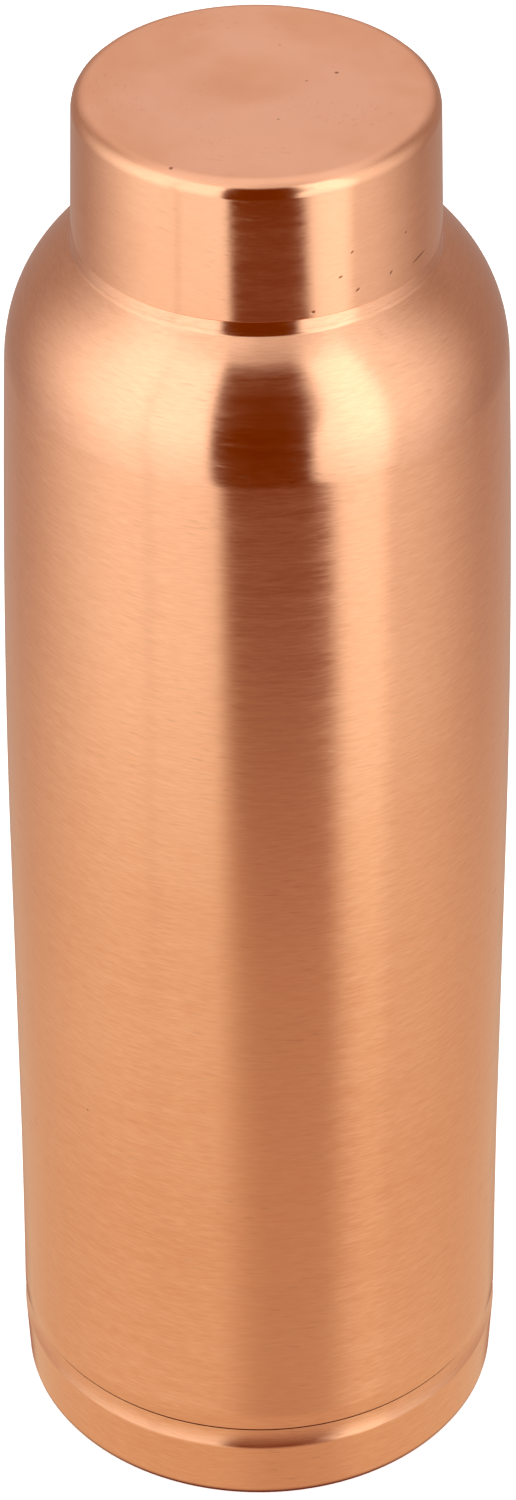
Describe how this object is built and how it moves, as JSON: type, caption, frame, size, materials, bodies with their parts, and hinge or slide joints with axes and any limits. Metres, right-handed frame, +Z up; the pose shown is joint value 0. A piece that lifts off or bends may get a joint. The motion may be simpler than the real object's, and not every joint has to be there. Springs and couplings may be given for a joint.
{
  "type": "water bottle",
  "caption": "Tall round copper water bottle with a rounded shoulder, a pressed base with a shallow groove, and a flat-topped screw cap that seals on its threaded neck.",
  "frame": {"origin": "centre of the circle that the base stands on", "axes": "+Z up along the bottle's axis; the bottle is round, so +X and +Y are any two directions square to it"},
  "size_m": [0.0786, 0.0786, 0.2417],
  "materials": {
    "brushed_copper": "satin copper sheet, finely brushed round the body",
    "polished_copper": "smoother, nearly polished copper sheet with small pits and scratches",
    "bare_copper": "bright rolled copper, as formed",
    "silicone": "translucent white food-grade silicone, matt"
  },
  "bodies": {
    "bottle": {"body_shell": "brushed_copper", "base_cup": "brushed_copper", "neck_ring": "bare_copper"},
    "seal": {"seal_ring": "silicone"},
    "cap": {"cap_shell": "polished_copper", "cap_threaded_cup": "bare_copper"}
  },
  "joints": [
    {"name": "cap_lift", "type": "slide", "parent": "bottle", "child": "seal", "axis": [0, 0, 1], "range_m": [0, 0.0225]},
    {"name": "cap_turn", "type": "hinge", "parent": "seal", "child": "cap", "pos_m": [0, 0, 0.2197], "axis": [0, 0, 1], "range_deg": [0, 1800]}
  ],
  "couplings": [
    {"joint": "cap_lift", "follows": "cap_turn", "m_per_rad": 0.0007162}
  ]
}
